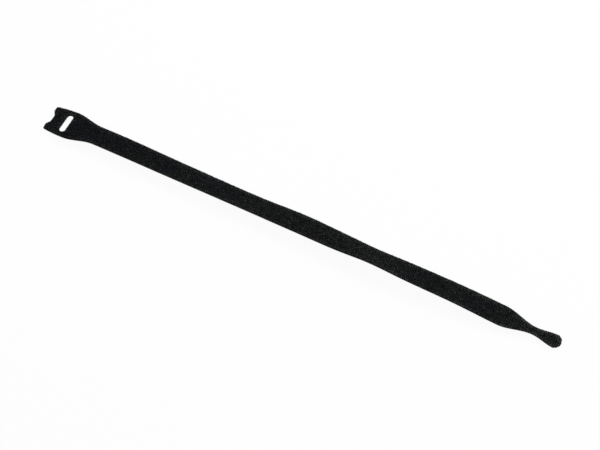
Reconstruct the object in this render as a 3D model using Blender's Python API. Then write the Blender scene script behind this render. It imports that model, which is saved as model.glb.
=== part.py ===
"""Hook-and-loop cable tie: one strap, die cut from double-sided tape and lying on its two ends.

The strap is first made flat, as the blank that the die cuts, and is then laid: arched and a
little twisted along its length. In the blank, X runs from the head's end to the tip, Y runs
across the strap and Z rises from the hook side (z = 0) to the pile side. Lengths are in metres.
"""

from math import atan2, ceil, cos, hypot, pi, radians, sin, tan

import bmesh
import bpy
import numpy as np

MM = 0.001

# Strap
STRAP_LENGTH = 330.0 * MM
BODY_WIDTH = 12.2 * MM
THICKNESS = 1.7 * MM
PILE_EDGE_ROUND = 0.3 * MM

# Head, measured from its end
HEAD_LENGTH = 31.3 * MM
HEAD_END_WIDTH = 16.4 * MM
HEAD_MAX_WIDTH = 18.7 * MM
HEAD_MAX_AT = 13.4 * MM
HEAD_CORNER_RADIUS = 0.5 * MM

# Notch in the head's end, whose mouth stands a little proud of the head's corners
NOTCH_MOUTH_WIDTH = 10.5 * MM
NOTCH_FLOOR_WIDTH = 4.4 * MM
NOTCH_DEPTH = 1.6 * MM
NOTCH_LIP = 0.3 * MM
NOTCH_CORNER_RADIUS = 0.6 * MM

# Slot that the body is threaded through
SLOT_AT = 10.5 * MM
SLOT_SIDE_CLEARANCE = 0.6 * MM
SLOT_THREADING_GAP = 2.7 * MM

# Tail, measured back from the tip: shoulder, neck and pull tab
SHOULDER_LENGTH = 20.6 * MM
NECK_WIDTH = 4.6 * MM
TAB_LENGTH = 16.7 * MM
TAB_WIDTH = 8.3 * MM
TAB_END_LENGTH = 3.2 * MM

# Nicks that the torn perforation leaves in the tab's round end: angle, depth and width
TORN_NICKS = (
    (radians(-55), 0.35 * MM, 0.8 * MM),
    (radians(-33), 0.40 * MM, 0.9 * MM),
    (radians(19), 0.85 * MM, 1.4 * MM),
    (radians(56), 0.35 * MM, 0.8 * MM),
)

# Lie: the head and the tail's end stay flat and slope down to the table
FLAT_HEAD_LENGTH = 26.0 * MM
FLAT_TAIL_LENGTH = 12.0 * MM
HEAD_TILT = radians(5.2)
TAIL_TILT = radians(4.6)

# Lie between the flat parts: share of the way, height of the hook side, and twist about the length
LIE = (
    (0.075, 3.20 * MM, radians(1)),
    (0.180, 3.05 * MM, radians(-3)),
    (0.280, 3.10 * MM, radians(-6)),
    (0.385, 3.50 * MM, radians(-6)),
    (0.480, 4.80 * MM, radians(3)),
    (0.560, 4.25 * MM, radians(-3.5)),
    (0.630, 4.35 * MM, radians(-15)),
    (0.715, 4.35 * MM, radians(-5)),
    (0.820, 4.15 * MM, radians(1)),
    (0.920, 2.45 * MM, radians(8)),
)

# Fineness of the mesh
EDGE_STEP = 1.3 * MM
LAY_STEP = 3.0 * MM
LIE_STEP = 0.25 * MM
ARC_STEP = radians(12)
ROUNDING_STEPS = 2
WELD_DISTANCE = 0.02 * MM

# Colour of the dyed nylon
STRAP_COLOUR = (0.012, 0.012, 0.013, 1.0)
STRAP_ROUGHNESS = 0.95


def clear_scene():
    """Remove every object that the open file holds."""
    for item in list(bpy.data.objects):
        bpy.data.objects.remove(item, do_unlink=True)


def ease(share):
    """S-curve from 0 to 1 that starts and ends level."""
    return share * share * (3 - 2 * share)


def places_between(start, end):
    """Evenly spaced places from start up to, but not including, end."""
    count = max(2, ceil((end - start) / EDGE_STEP))
    return [start + (end - start) * index / count for index in range(count)]


def arc_points(centre, radius, start, end):
    """Points along an arc, both ends included."""
    count = max(2, ceil(abs(end - start) / ARC_STEP))
    angles = [start + (end - start) * index / count for index in range(count + 1)]
    return [(centre[0] + radius * cos(angle), centre[1] + radius * sin(angle)) for angle in angles]


def rounded_corner(before, corner, after, radius):
    """Arc that rounds the corner between two straight edges."""
    angle_in = atan2(before[1] - corner[1], before[0] - corner[0])
    angle_out = atan2(after[1] - corner[1], after[0] - corner[0])
    opening = (angle_out - angle_in + pi) % (2 * pi) - pi
    middle = angle_in + opening / 2
    half = abs(opening) / 2
    shortest = min(hypot(before[0] - corner[0], before[1] - corner[1]),
                   hypot(after[0] - corner[0], after[1] - corner[1]))
    radius = min(radius, 0.45 * shortest * tan(half))
    reach = radius / sin(half)
    centre = (corner[0] + reach * cos(middle), corner[1] + reach * sin(middle))
    sweep = (pi - 2 * half) * (1 if opening > 0 else -1)
    start = middle + pi + sweep / 2
    return arc_points(centre, radius, start, start - sweep)


def head_edge():
    """Half widths of the head, from its corner over its widest place to the body."""
    edge = []
    for place in places_between(0, HEAD_MAX_AT):
        narrowing = (1 - place / HEAD_MAX_AT) ** 2
        edge.append((place, (HEAD_MAX_WIDTH - (HEAD_MAX_WIDTH - HEAD_END_WIDTH) * narrowing) / 2))
    for place in places_between(HEAD_MAX_AT, HEAD_LENGTH):
        share = ease((place - HEAD_MAX_AT) / (HEAD_LENGTH - HEAD_MAX_AT))
        edge.append((place, (HEAD_MAX_WIDTH + (BODY_WIDTH - HEAD_MAX_WIDTH) * share) / 2))
    edge.append((HEAD_LENGTH, BODY_WIDTH / 2))
    return edge


def tail_edge():
    """Half widths of the tail, from the shoulder over the neck to where the tab's end begins."""
    neck_at = STRAP_LENGTH - TAB_LENGTH
    shoulder_at = neck_at - SHOULDER_LENGTH
    tab_end_at = STRAP_LENGTH - TAB_END_LENGTH
    edge = []
    for place in places_between(shoulder_at, neck_at):
        share = ease((place - shoulder_at) / SHOULDER_LENGTH)
        edge.append((place, (BODY_WIDTH + (NECK_WIDTH - BODY_WIDTH) * share) / 2))
    for place in places_between(neck_at, tab_end_at):
        share = ease((place - neck_at) / (tab_end_at - neck_at))
        edge.append((place, (NECK_WIDTH + (TAB_WIDTH - NECK_WIDTH) * share) / 2))
    return edge


def tab_end_arc():
    """Centre, radius and half angle of the arc that ends the pull tab."""
    radius = ((TAB_WIDTH / 2) ** 2 + TAB_END_LENGTH ** 2) / (2 * TAB_END_LENGTH)
    centre = (STRAP_LENGTH - radius, 0)
    half_angle = atan2(TAB_WIDTH / 2, radius - TAB_END_LENGTH)
    return centre, radius, half_angle


def head_end():
    """The head's end from its near corner, in and out of the notch, to its far corner."""
    edge = head_edge()
    corners = [
        (edge[1][0], -edge[1][1]),
        (0, -HEAD_END_WIDTH / 2),
        (-NOTCH_LIP, -NOTCH_MOUTH_WIDTH / 2),
        (NOTCH_DEPTH, -NOTCH_FLOOR_WIDTH / 2),
        (NOTCH_DEPTH, NOTCH_FLOOR_WIDTH / 2),
        (-NOTCH_LIP, NOTCH_MOUTH_WIDTH / 2),
        (0, HEAD_END_WIDTH / 2),
        edge[1],
    ]
    radii = [HEAD_CORNER_RADIUS] + [NOTCH_CORNER_RADIUS] * 4 + [HEAD_CORNER_RADIUS]
    points = []
    for index, radius in enumerate(radii, start=1):
        points += rounded_corner(corners[index - 1], corners[index], corners[index + 1], radius)
    return points


def blank_outline():
    """Outline of the blank, clockwise from the head's near corner."""
    far_side = head_edge()[1:] + tail_edge()
    near_side = [(place, -half) for place, half in reversed(far_side)]
    centre, radius, half_angle = tab_end_arc()
    return head_end() + far_side + arc_points(centre, radius, half_angle, -half_angle) + near_side


def prism(outline, low, high):
    """Closed solid with the given outline, from the height low to the height high."""
    shape = bmesh.new()
    base = shape.faces.new([shape.verts.new((x, y, low)) for x, y in outline])
    extruded = bmesh.ops.extrude_face_region(shape, geom=[base])["geom"]
    raised = [item for item in extruded if isinstance(item, bmesh.types.BMVert)]
    bmesh.ops.translate(shape, verts=raised, vec=(0, 0, high - low))
    bmesh.ops.recalc_face_normals(shape, faces=shape.faces)
    return shape


def add_object(name, shape):
    """Turn a bmesh into an object of the scene."""
    mesh = bpy.data.meshes.new(name)
    shape.to_mesh(mesh)
    shape.free()
    item = bpy.data.objects.new(name, mesh)
    bpy.context.scene.collection.objects.link(item)
    return item


def make_blank():
    """The tape cut to its outline, with the pile's edge rounded where the knife pressed it down."""
    shape = prism(blank_outline(), 0, THICKNESS)
    pile_face = max(shape.faces, key=lambda face: face.calc_center_median().z)
    bmesh.ops.bevel(shape, geom=list(pile_face.edges), offset=PILE_EDGE_ROUND,
                    offset_type="OFFSET", segments=ROUNDING_STEPS, profile=0.5,
                    affect="EDGES", clamp_overlap=True)
    return add_object("strap", shape)


def slot_cutter():
    """Punch for the slot: a bar with round ends, wider than the body that goes through it."""
    length = BODY_WIDTH + 2 * SLOT_SIDE_CLEARANCE
    width = THICKNESS + SLOT_THREADING_GAP
    offset = (length - width) / 2
    outline = arc_points((SLOT_AT, offset), width / 2, 0, pi)
    outline += arc_points((SLOT_AT, -offset), width / 2, pi, 2 * pi)
    return add_object("slot_cutter", prism(outline, -THICKNESS, 2 * THICKNESS))


def nick_cutter(angle, depth, width):
    """Wedge that leaves one nick, pointing from outside the tab's end towards its centre."""
    centre, radius, _ = tab_end_arc()
    outline = []
    for along, across in ((-depth, 0), (depth, width), (depth, -width)):
        reach = radius + along
        outline.append((centre[0] + reach * cos(angle) - across * sin(angle),
                        centre[1] + reach * sin(angle) + across * cos(angle)))
    return add_object("nick_cutter", prism(outline, -THICKNESS, 2 * THICKNESS))


def punch(blank, cutters):
    """Cut the cutters out of the blank, keep the result as its mesh and remove the cutters."""
    for cutter in cutters:
        cutter.hide_render = True
        cutter.display_type = "WIRE"
        cut = blank.modifiers.new("cut", "BOOLEAN")
        cut.operation = "DIFFERENCE"
        cut.solver = "EXACT"
        cut.object = cutter
    evaluated = blank.evaluated_get(bpy.context.evaluated_depsgraph_get())
    mesh = bpy.data.meshes.new_from_object(evaluated)
    blank.modifiers.clear()
    blank.data = mesh
    mesh.name = blank.name
    for cutter in cutters:
        bpy.data.objects.remove(cutter, do_unlink=True)


def divide_for_bending(blank):
    """Cross cuts where the strap bends and one cut along its middle, so that it can twist."""
    shape = bmesh.new()
    shape.from_mesh(blank.data)
    bend_start = FLAT_HEAD_LENGTH
    bend_end = STRAP_LENGTH - FLAT_TAIL_LENGTH
    count = max(2, ceil((bend_end - bend_start) / LAY_STEP))
    for place in np.linspace(bend_start, bend_end, count + 1):
        parts = shape.verts[:] + shape.edges[:] + shape.faces[:]
        bmesh.ops.bisect_plane(shape, geom=parts, plane_co=(place, 0, 0), plane_no=(1, 0, 0))
    strips = [face for face in shape.faces
              if abs(face.normal.z) > 0.9 and bend_start < face.calc_center_median().x < bend_end]
    edges = list({edge for face in strips for edge in face.edges})
    corners = list({corner for face in strips for corner in face.verts})
    bmesh.ops.bisect_plane(shape, geom=corners + edges + strips, plane_co=(0, 0, 0),
                           plane_no=(0, 1, 0))
    bmesh.ops.remove_doubles(shape, verts=shape.verts[:], dist=WELD_DISTANCE)
    bmesh.ops.triangulate(shape, faces=shape.faces[:])
    shape.to_mesh(blank.data)
    shape.free()


def curve_through(places, values, first_slope, last_slope):
    """Smooth curve through the given values, with the given slopes at its two ends."""
    slopes = np.gradient(values, places)
    slopes[0] = first_slope
    slopes[-1] = last_slope

    def value_at(place):
        index = np.clip(np.searchsorted(places, place, side="right") - 1, 0, len(places) - 2)
        gap = places[index + 1] - places[index]
        share = np.clip((place - places[index]) / gap, 0, 1)
        rise = ease(share)
        leaving = share * (1 - share) ** 2 * gap * slopes[index]
        arriving = share ** 2 * (share - 1) * gap * slopes[index + 1]
        return values[index] * (1 - rise) + values[index + 1] * rise + leaving + arriving

    return value_at


def lie_of_strap():
    """Places along the strap, with the run, height, slope and twist of its hook side there."""
    bend_start = FLAT_HEAD_LENGTH
    bend_end = STRAP_LENGTH - FLAT_TAIL_LENGTH
    shares, heights, twists = (np.array(column) for column in zip(*LIE))
    places = np.concatenate([[bend_start], bend_start + shares * (bend_end - bend_start), [bend_end]])
    heights = np.concatenate([[bend_start * sin(HEAD_TILT)], heights,
                              [FLAT_TAIL_LENGTH * sin(TAIL_TILT)]])
    twists = np.concatenate([[0], twists, [0]])
    arch = curve_through(places, heights, sin(HEAD_TILT), -sin(TAIL_TILT))
    turn = curve_through(places, twists, 0, 0)

    margin = 4 * LIE_STEP
    count = ceil((STRAP_LENGTH + 2 * margin) / LIE_STEP)
    along = np.linspace(-margin, STRAP_LENGTH + margin, count + 1)
    in_head = along < bend_start
    in_tail = along > bend_end
    height = np.where(in_head, along * sin(HEAD_TILT), arch(along))
    height = np.where(in_tail, (STRAP_LENGTH - along) * sin(TAIL_TILT), height)
    twist = np.where(in_head | in_tail, 0, turn(along))
    slope = np.gradient(height, along)
    pace = np.sqrt(1 - slope ** 2)
    steps = (pace[1:] + pace[:-1]) / 2 * np.diff(along)
    run = np.concatenate([[0], np.cumsum(steps)])
    return along, run, height, slope, twist


def lay(strap):
    """Carry the flat blank's points to where the arched and twisted strap has them."""
    count = len(strap.data.vertices)
    flat = np.empty(count * 3)
    strap.data.vertices.foreach_get("co", flat)
    place, across, lift = flat.reshape(count, 3).T
    along, run, height, slope, twist = lie_of_strap()
    x = np.interp(place, along, run)
    z = np.interp(place, along, height)
    sine = np.interp(place, along, slope)
    cosine = np.sqrt(1 - sine ** 2)
    turn = np.interp(place, along, twist)
    raised = across * np.sin(turn) + lift * np.cos(turn)
    laid = np.stack([x - raised * sine,
                     across * np.cos(turn) - lift * np.sin(turn),
                     z + raised * cosine], axis=1)
    lowest = laid.min(axis=0)
    highest = laid.max(axis=0)
    middle = (lowest + highest) / 2
    laid -= (middle[0], middle[1], lowest[2])
    strap.data.vertices.foreach_set("co", laid.ravel())
    strap.data.update()


def black_nylon():
    """Matt black of the dyed nylon pile and hooks."""
    material = bpy.data.materials.new("black_nylon")
    material.use_nodes = True
    shader = material.node_tree.nodes["Principled BSDF"]
    shader.inputs["Base Color"].default_value = STRAP_COLOUR
    shader.inputs["Roughness"].default_value = STRAP_ROUGHNESS
    shader.inputs["Metallic"].default_value = 0.0
    return material


def make_strap():
    """The whole tie, cut, laid and coloured."""
    strap = make_blank()
    punch(strap, [slot_cutter()] + [nick_cutter(*nick) for nick in TORN_NICKS])
    divide_for_bending(strap)
    lay(strap)
    strap.data.materials.clear()
    strap.data.materials.append(black_nylon())
    strap.data.shade_smooth()
    strap.data.set_sharp_from_angle(angle=radians(35))
    return strap


clear_scene()
make_strap()
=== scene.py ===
"""Looks of the hook-and-loop cable tie: tape, pile loops, cut fibres, moulded hooks and stage.

Every piece is first made on the flat blank that the die cuts, in metres: X runs from the head's
end to the tip, Y across the strap and Z from the tips of the hooks (0) up to the pile. Each one
is then laid where the CAD solid lies, arched and a little twisted along its length.
"""

from math import atan2, ceil, cos, hypot, pi, radians, sin, tan

import bpy
import numpy as np
from bpy.props import FloatProperty, FloatVectorProperty, IntProperty, PointerProperty
from mathutils import Matrix, Vector, kdtree, noise
from mathutils.geometry import delaunay_2d_cdt


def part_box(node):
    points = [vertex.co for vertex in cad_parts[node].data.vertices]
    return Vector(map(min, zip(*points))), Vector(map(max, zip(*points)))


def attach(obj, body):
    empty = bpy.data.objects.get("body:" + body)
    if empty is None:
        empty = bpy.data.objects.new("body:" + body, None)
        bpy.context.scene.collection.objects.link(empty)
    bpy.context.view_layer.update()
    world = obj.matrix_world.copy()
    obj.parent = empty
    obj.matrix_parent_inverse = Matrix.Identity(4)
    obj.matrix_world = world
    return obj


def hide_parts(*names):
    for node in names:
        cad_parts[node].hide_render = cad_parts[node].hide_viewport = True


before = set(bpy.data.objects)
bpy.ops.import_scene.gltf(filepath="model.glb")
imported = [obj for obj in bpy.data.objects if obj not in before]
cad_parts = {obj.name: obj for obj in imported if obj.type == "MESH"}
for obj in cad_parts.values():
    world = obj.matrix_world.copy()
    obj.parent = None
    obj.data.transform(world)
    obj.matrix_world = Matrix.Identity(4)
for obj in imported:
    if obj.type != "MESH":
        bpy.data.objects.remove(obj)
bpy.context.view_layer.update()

bl_info = {
    "name": "Hook-and-loop cable tie",
    "version": (1, 0, 0),
    "blender": (4, 5, 0),
    "location": "View3D > Sidebar > Cable Tie",
    "description": "Makes a detailed hook-and-loop cable tie round its CAD solid",
    "category": "Object",
}

MM = 0.001
BODY = "root"
CAD_NODE = "strap"

# Nicks of the torn perforation in the tab's round end: angle, depth and width
TORN_NICKS = (
    (radians(-55), 0.35 * MM, 0.8 * MM),
    (radians(-33), 0.40 * MM, 0.9 * MM),
    (radians(19), 0.85 * MM, 1.4 * MM),
    (radians(56), 0.35 * MM, 0.8 * MM),
)

# Lie between the flat parts: share of the way, height of the hook side, twist about the length
LIE = (
    (0.075, 3.20 * MM, radians(1)),
    (0.180, 3.05 * MM, radians(-3)),
    (0.280, 3.10 * MM, radians(-6)),
    (0.385, 3.50 * MM, radians(-6)),
    (0.480, 4.80 * MM, radians(3)),
    (0.560, 4.25 * MM, radians(-3.5)),
    (0.630, 4.35 * MM, radians(-15)),
    (0.715, 4.35 * MM, radians(-5)),
    (0.820, 4.15 * MM, radians(1)),
    (0.920, 2.45 * MM, radians(8)),
)
FLAT_HEAD_LENGTH = 26.0 * MM
FLAT_TAIL_LENGTH = 12.0 * MM
HEAD_TILT = radians(5.2)
TAIL_TILT = radians(4.6)
LIE_STEP = 0.25 * MM

# Fineness of the meshes
CURVE_STEP = 0.6 * MM
BORDER_STEP = 0.3 * MM
ARC_STEP = radians(9)
TORN_STEP = radians(1.5)
PILE_STEP = 0.40 * MM
FILM_STEP = 1.2 * MM
SHOULDER_RINGS = (0.10 * MM, 0.24 * MM)
LEAST_FACE = 1e-6 * MM ** 2

# Shares of the pile's splay that parts of the tape follow, and how uneven the cut is
SLOT_SPLAY = 1.7
GROUND_SPLAY = 0.7
FILM_SPLAY = 0.8
CUT_WANDER = 0.15
CUT_LUMP = 0.7 * MM

# Bands of the tape's side that are cloth, from above, and the angle of a sharp edge
CLOTH_BANDS = 4
SHARP_EDGE = radians(50)

# Yarn, cut fibres and hooks: sizes of the curls, spreads of scale and greatest turns
CURL_SIZE = 0.55 * MM
LOOP_SCALES = (0.65, 1.35)
FIBRE_SCALES = (0.35, 1.35)
FIBRE_TURNS = ((-pi, -0.9, -0.9), (pi, 0.8, 0.9))
HOOK_TURNS = ((-0.06, -0.10, -0.10), (0.06, 0.10, 0.10))

# Pieces of the pile: name, start and end as shares of the strap's length
PILE_PARTS = (("head", -1.0, 0.22), ("front", 0.22, 0.48), ("back", 0.48, 0.74),
              ("tail", 0.74, 2.0))

# Painted light and shade along the strap, a rim that is rubbed and also has painted sheen, and
# dye, in shares of the strap's length unless another length is named
HEAD_SHADE_HEADS = 5
TAB_LIGHT_SHOULDERS = 3.5
MIDDLE_AT = 0.57
MIDDLE_REACH = 0.2
RIM_LIGHT_AND_WEAR_WIDTHS = (0.7, 1.6)
DYE_CHANGES = ((0.12, 0.50), (0.60, 0.75), (0.86, 0.94))

# Finishes
NOISE_SPREAD = (0.40, 0.60)
SPECK_SPREAD = (0.66, 0.80)
ROW_DRIFT_PER_METRE = 420.0
PALEST_YARN = 10.0
# How much lighter the rubbed rim's colour is made; partly rubbed dye, partly painted sheen
RIM_SHADE = 1.08
WHITE = (1.0, 1.0, 1.0, 1.0)

# Camera
CAMERA_AZIMUTH = radians(28.280)
CAMERA_ELEVATION = radians(55.507)
CAMERA_DISTANCE = 2.5
CAMERA_LENS_MM = 263.25
CAMERA_SENSOR_MM = 36.0
CAMERA_AIM = (0.00032, 0.0, 0.00003)
CAMERA_RIGHT = -0.000873
CAMERA_UP = 0.002748

# Lamps: name, metres to the camera's right, away from it and up, size in metres and watts
LAMPS = (("key_lamp", (0.65, 0.9, 0.8), 0.7, 18.0), ("fill_lamp", (-0.9, -0.4, 1.0), 1.2, 2.5))

# Floor and world: half the floor's side, how much of its shadow is lifted, and the even light
FLOOR_HALF = 6.0
FLOOR_LIFT = 0.94
WORLD_LIGHT = 0.38


# Sizes and colours

def length(name, description, millimetres):
    """Property for a length."""
    return FloatProperty(name=name, description=description, default=millimetres * MM, min=0.0,
                         precision=5, subtype="DISTANCE", unit="LENGTH")


def angle(name, description, degrees):
    """Property for an angle."""
    return FloatProperty(name=name, description=description, default=radians(degrees),
                         subtype="ANGLE", unit="ROTATION")


def number(name, description, default, highest=1.0):
    """Property for a plain number."""
    return FloatProperty(name=name, description=description, default=default, min=0.0,
                         max=highest)


def colour(name, description, default, highest=1.0):
    """Property for a colour, or for a tint that may also brighten."""
    return FloatVectorProperty(name=name, description=description, default=default, size=3,
                               min=0.0, max=highest, subtype="COLOR")


def seed(default):
    """Property for a seed."""
    return IntProperty(name="Seed", description="Start of the random draws", default=default,
                       min=0)


class StrapSizes(bpy.types.PropertyGroup):
    """Cut sizes of the flat blank and the layers of the tape."""
    strap_length: length("Length", "From the head's end to the tip", 330.0)
    body_width: length("Body width", "Even width of the body", 12.2)
    thickness: length("Thickness", "From the hooks' tips to the top of the pile", 1.7)
    head_length: length("Head length", "From the head's end to the body", 31.3)
    head_end_width: length("Head end width", "Width at the head's end", 16.4)
    head_max_width: length("Head width", "Greatest width of the head", 18.7)
    head_max_at: length("Widest at", "Place of the greatest width", 13.4)
    head_corner_radius: length("Head corner", "Radius of the head's corners", 0.5)
    notch_mouth_width: length("Notch mouth", "Width of the notch's mouth", 10.5)
    notch_floor_width: length("Notch floor", "Width of the notch's floor", 4.4)
    notch_depth: length("Notch depth", "Depth of the notch", 1.6)
    notch_lip: length("Notch lip", "How far the mouth stands proud of the corners", 0.3)
    notch_corner_radius: length("Notch corner", "Radius of the notch's corners", 0.6)
    slot_at: length("Slot place", "From the head's end to the slot's middle", 10.5)
    slot_length: length("Slot length", "Across the strap", 13.4)
    slot_width: length("Slot width", "Along the strap", 4.4)
    shoulder_length: length("Shoulder", "Length that narrows to the neck", 20.6)
    neck_width: length("Neck width", "Narrowest width of the tail", 4.6)
    tab_length: length("Tab length", "From the neck to the tip", 16.7)
    tab_width: length("Tab width", "Greatest width of the pull tab", 8.3)
    tab_end_length: length("Tab end", "Length of the tab's round end", 3.2)
    film_bottom: length("Film bottom", "Height where the hooks meet their film", 0.30)
    film_top: length("Film top", "Height where the film meets the cloth", 0.50)
    ground_height: length("Pile ground", "Height of the knitted ground under the loops", 1.52)
    edge_round: length("Edge round", "Rounding of the ground's edge", 0.22)
    row_pitch: length("Row pitch", "Between knitted rows, measured along the strap", 1.36)
    row_slant: angle("Row slant", "How far the rows slant", 9.7)
    row_fade_start: length("Rows fade from", "Where the worn head's rows begin to show", 40.0)
    row_fade_end: length("Rows fade to", "Place from which the rows show fully", 85.0)
    worn_rows: number("Worn rows", "How much of the rows is left on the worn head", 0.35)
    row_relief: length("Row relief", "Height of the knitted rows", 0.14)
    lump_size: length("Lump size", "Size of the uneven places in the pile", 2.6)
    lump_relief: length("Lump relief", "Height of the uneven places", 0.15)
    splay: length("Splay", "How far the pile swells out over the cut", 0.21)
    rim_width: length("Rim width", "Width of the brushed rim along the cut", 2.0)


class PileSizes(bpy.types.PropertyGroup):
    """Loops of the pile and fibres along the cut."""
    loops_per_mm2: number("Loops per square millimetre", "Mean number of loops", 4.2, 20.0)
    loop_width: length("Loop width", "Between a loop's two feet", 0.72)
    loop_height: length("Loop height", "From the ground to a loop's top", 0.40)
    fibre_radius: length("Fibre radius", "Radius of a loop's yarn", 0.040)
    lean: angle("Lean", "Greatest lean of a loop", 58)
    curl: length("Curl", "How far the yarn wanders from an even loop", 0.32)
    row_contrast: number("Row contrast", "How much thinner the pile is between two rows", 0.75)
    tuft_size: length("Tuft size", "Size of the tufts that the loops form", 1.1)
    tuft_contrast: number("Tuft contrast", "How much thinner it is between two tufts", 3.0, 10.0)
    rim_density: number("Rim density", "How much denser the loops are at the cut", 1.8, 10.0)
    rim_scale: number("Rim scale", "How much smaller the loops are at the cut", 0.55, 2.0)
    hair_length: length("Cut fibre", "Length of a fibre at the cut edge", 0.30)
    hair_radius: length("Cut fibre radius", "Radius of a fibre at the cut edge", 0.022)
    seed: seed(11)


class HookSizes(bpy.types.PropertyGroup):
    """Moulded hooks of the underside."""
    hook_pitch: length("Hook pitch", "Between two hooks of a row", 0.86)
    row_pitch: length("Hook row pitch", "Between two rows", 0.74)
    hook_reach: length("Hook reach", "Length of a hook along its row", 0.42)
    hook_thickness: length("Hook thickness", "Thickness of a hook across its row", 0.17)
    edge_margin: length("Edge margin", "Free border along the cut edge", 0.04)
    seed: seed(5)


class Finish(bpy.types.PropertyGroup):
    """Colours of the dyed nylon and of the stage."""
    pile_colour: colour("Pile", "Dyed loops of the pile", (0.0128, 0.0149, 0.0129))
    ground_colour: colour("Ground", "Knitted ground between the loops", (0.0045, 0.0054, 0.0050))
    edge_colour: colour("Cut edge", "Cut side of the tape", (0.0075, 0.0078, 0.0080))
    hook_colour: colour("Hooks", "Moulded hooks and their film", (0.0125, 0.0130, 0.0140))
    cast_tint: colour("Dye cast", "Tint where the dye is bluer", (0.93, 0.91, 1.31), 2.0)
    rim_tint: colour("Rim tint", "Tint of the rim, where the dye is rubbed", (1.0, 0.92, 0.93))
    lint_colour: colour("Lint", "Fine dust caught in the pile", (0.060, 0.060, 0.056))
    floor_colour: colour("Floor", "Plain pale floor", (0.90, 0.90, 0.90))


# Outline of the blank

def ease(share):
    """S-curve from 0 to 1 that starts and ends level."""
    return share * share * (3 - 2 * share)


def side_edges(sizes):
    """Half widths of the head up to the body, and of the tail up to where the tab's end begins."""
    neck_at = sizes.strap_length - sizes.tab_length
    legs = (
        (0, sizes.head_max_at, sizes.head_max_width, sizes.head_end_width,
         lambda share: (1 - share) ** 2),
        (sizes.head_max_at, sizes.head_length, sizes.head_max_width, sizes.body_width, ease),
        (neck_at - sizes.shoulder_length, neck_at, sizes.body_width, sizes.neck_width, ease),
        (neck_at, sizes.strap_length - sizes.tab_end_length, sizes.neck_width, sizes.tab_width,
         ease),
    )
    edges = []
    for start, end, first, last, change in legs:
        count = max(2, ceil((end - start) / CURVE_STEP))
        places = [start + (end - start) * index / count for index in range(count)]
        shares = [change((place - start) / (end - start)) for place in places]
        edges.append([(place, (first + (last - first) * share) / 2)
                      for place, share in zip(places, shares)])
    head = edges[0] + edges[1] + [(sizes.head_length, sizes.body_width / 2)]
    return head, edges[2] + edges[3]


def arc_points(centre, radius, start, end):
    """Points along an arc, both ends included."""
    count = max(2, ceil(abs(end - start) / ARC_STEP))
    turns = [start + (end - start) * index / count for index in range(count + 1)]
    return [(centre[0] + radius * cos(turn), centre[1] + radius * sin(turn)) for turn in turns]


def rounded_corner(before, corner, after, radius):
    """Arc that rounds the corner between two straight edges."""
    turns = [atan2(end[1] - corner[1], end[0] - corner[0]) for end in (before, after)]
    shortest = min(hypot(end[0] - corner[0], end[1] - corner[1]) for end in (before, after))
    opening = (turns[1] - turns[0] + pi) % (2 * pi) - pi
    middle = turns[0] + opening / 2
    half = abs(opening) / 2
    radius = min(radius, 0.45 * shortest * tan(half))
    reach = radius / sin(half)
    centre = (corner[0] + reach * cos(middle), corner[1] + reach * sin(middle))
    sweep = (pi - 2 * half) * (1 if opening > 0 else -1)
    start = middle + pi + sweep / 2
    return arc_points(centre, radius, start, start - sweep)


def torn_end(sizes):
    """Round end of the tab with its torn nicks and the small bumps between them."""
    half_width = sizes.tab_width / 2
    radius = (half_width ** 2 + sizes.tab_end_length ** 2) / (2 * sizes.tab_end_length)
    centre = sizes.strap_length - radius
    half_angle = atan2(half_width, radius - sizes.tab_end_length)
    knots = [(-half_angle, 0), (half_angle, 0)]
    for turn, depth, width in TORN_NICKS:
        spread = width / (2 * radius)
        knots += [(turn - spread, 0), (turn, depth), (turn + spread, 0)]
    knots.sort()
    turns = np.linspace(half_angle, -half_angle, ceil(2 * half_angle / TORN_STEP) + 1)
    depths = np.interp(turns, *zip(*knots))
    bumps = np.array([noise.noise(Vector((turn * 9, 0, 3))) for turn in turns])
    reach = radius - depths - 0.05 * MM * (bumps + 0.4) * (np.abs(turns) < half_angle - TORN_STEP)
    return list(zip(centre + reach * np.cos(turns), reach * np.sin(turns)))


def head_end(sizes, side_point):
    """The head's end from its near corner, in and out of the notch, to its far corner."""
    far_half = [(sizes.notch_depth, sizes.notch_floor_width / 2),
                (-sizes.notch_lip, sizes.notch_mouth_width / 2),
                (0, sizes.head_end_width / 2), side_point]
    corners = [(x, -y) for x, y in reversed(far_half)] + far_half
    radii = [sizes.notch_corner_radius] * 6
    radii[0] = radii[-1] = sizes.head_corner_radius
    points = []
    for index, radius in enumerate(radii, start=1):
        points += rounded_corner(*corners[index - 1:index + 2], radius)
    return points


def with_even_points(points):
    """The same closed line, with a point at least every border step."""
    points = np.array(points)
    gaps = np.hypot(*(np.roll(points, -1, axis=0) - points).T)
    points = points[gaps > 0.02 * MM]
    finer = []
    for here, there in zip(points, np.roll(points, -1, axis=0)):
        count = max(1, ceil(hypot(*(there - here)) / BORDER_STEP))
        finer += [here + (there - here) * index / count for index in range(count)]
    return np.array(finer)


def blank_lines(sizes):
    """The two closed lines of the cut, each with the tape on its right: outline and slot."""
    head, tail = side_edges(sizes)
    far_side = head[1:] + tail
    near_side = [(place, -half) for place, half in reversed(far_side)]
    outline = head_end(sizes, head[1]) + far_side + torn_end(sizes)[1:-1] + near_side
    offset = (sizes.slot_length - sizes.slot_width) / 2
    slot = arc_points((sizes.slot_at, offset), sizes.slot_width / 2, 0, pi)
    slot += arc_points((sizes.slot_at, -offset), sizes.slot_width / 2, pi, 2 * pi)
    return [with_even_points(outline), with_even_points(slot)]


def outward_of(line):
    """Unit directions out of the tape at the points of one closed line of the cut."""
    step = np.roll(line, -1, axis=0) - np.roll(line, 1, axis=0)
    step /= np.hypot(*step.T)[:, None]
    return np.stack([-step[:, 1], step[:, 0]], axis=1)


# Flat faces

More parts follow.
